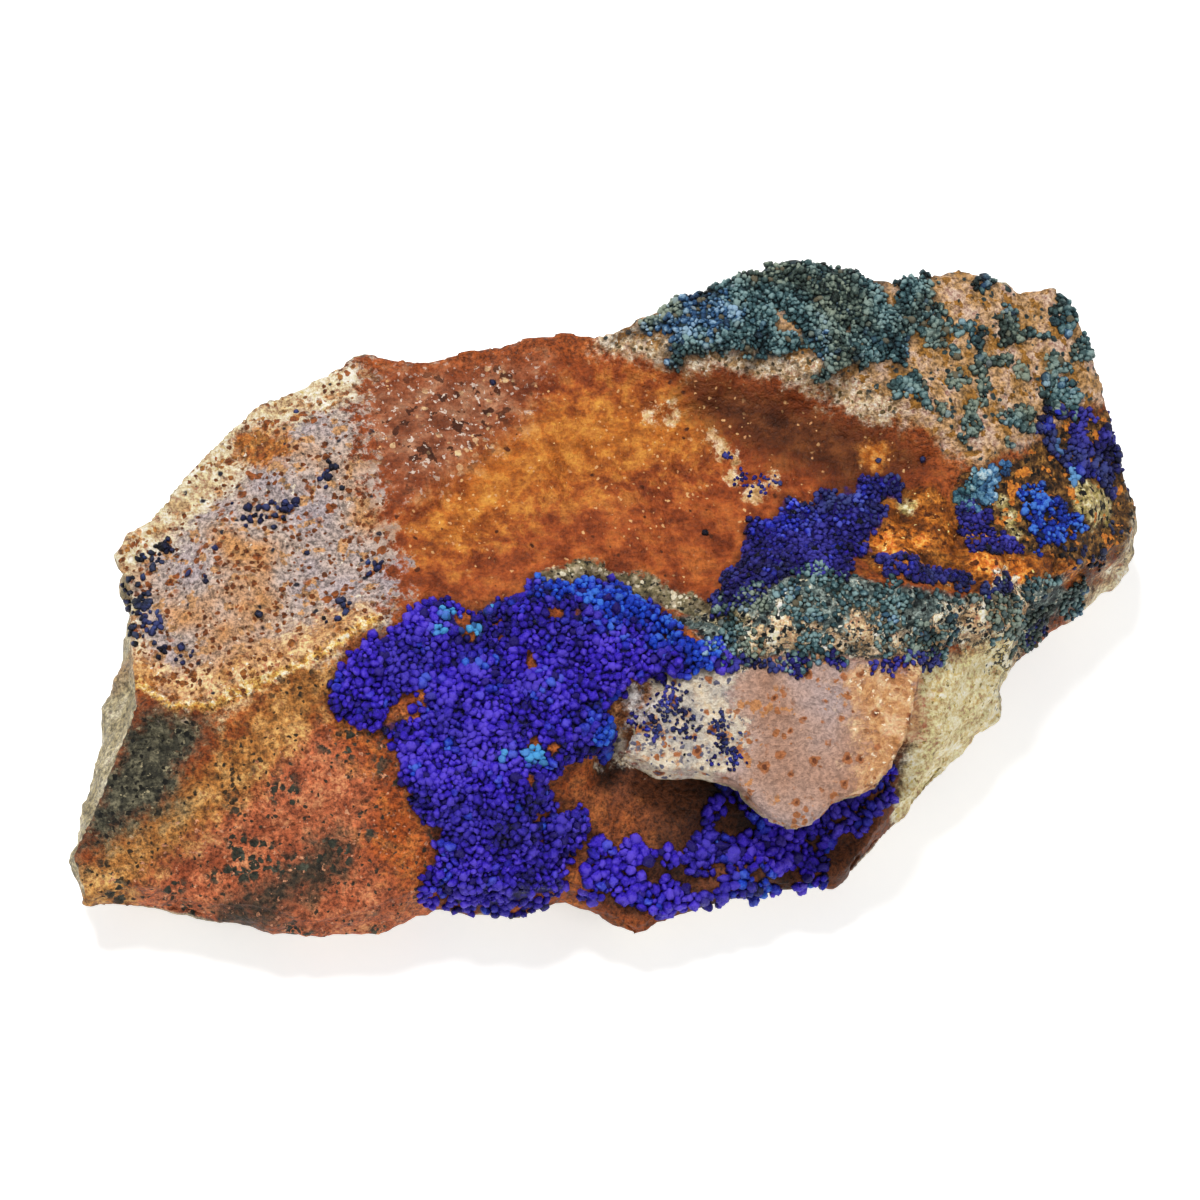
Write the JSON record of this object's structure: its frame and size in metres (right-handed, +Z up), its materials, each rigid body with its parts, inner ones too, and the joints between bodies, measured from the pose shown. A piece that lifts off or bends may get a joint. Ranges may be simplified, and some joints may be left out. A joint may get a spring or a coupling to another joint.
{
  "type": "azurite specimen",
  "caption": "Broken slab of iron-stained chert with crusts of azurite beads and blue-green druse on its upper side, lying on a flat underside for display.",
  "frame": {"origin": "middle of the bounding box at the flat underside that the slab rests on", "axes": "+X along the slab towards its pointed right end, +Y towards the blue-green back rim, +Z up out of the crusted side"},
  "size_m": [0.1218, 0.0712, 0.0282],
  "materials": {
    "chert": "matte broken rock, stained from lilac grey to rust",
    "azurite": "satin mineral beads, violet blue",
    "bluegreen_druse": "satin mineral beads, dark blue-green"
  },
  "bodies": {
    "root": {"matrix_rock": "chert", "azurite_druse_main": "azurite", "azurite_druse_lower": "azurite", "azurite_patch_upper": "azurite", "azurite_patch_end": "azurite", "bluegreen_druse_back": "bluegreen_druse", "bluegreen_druse_ridge": "bluegreen_druse"}
  },
  "joints": []
}
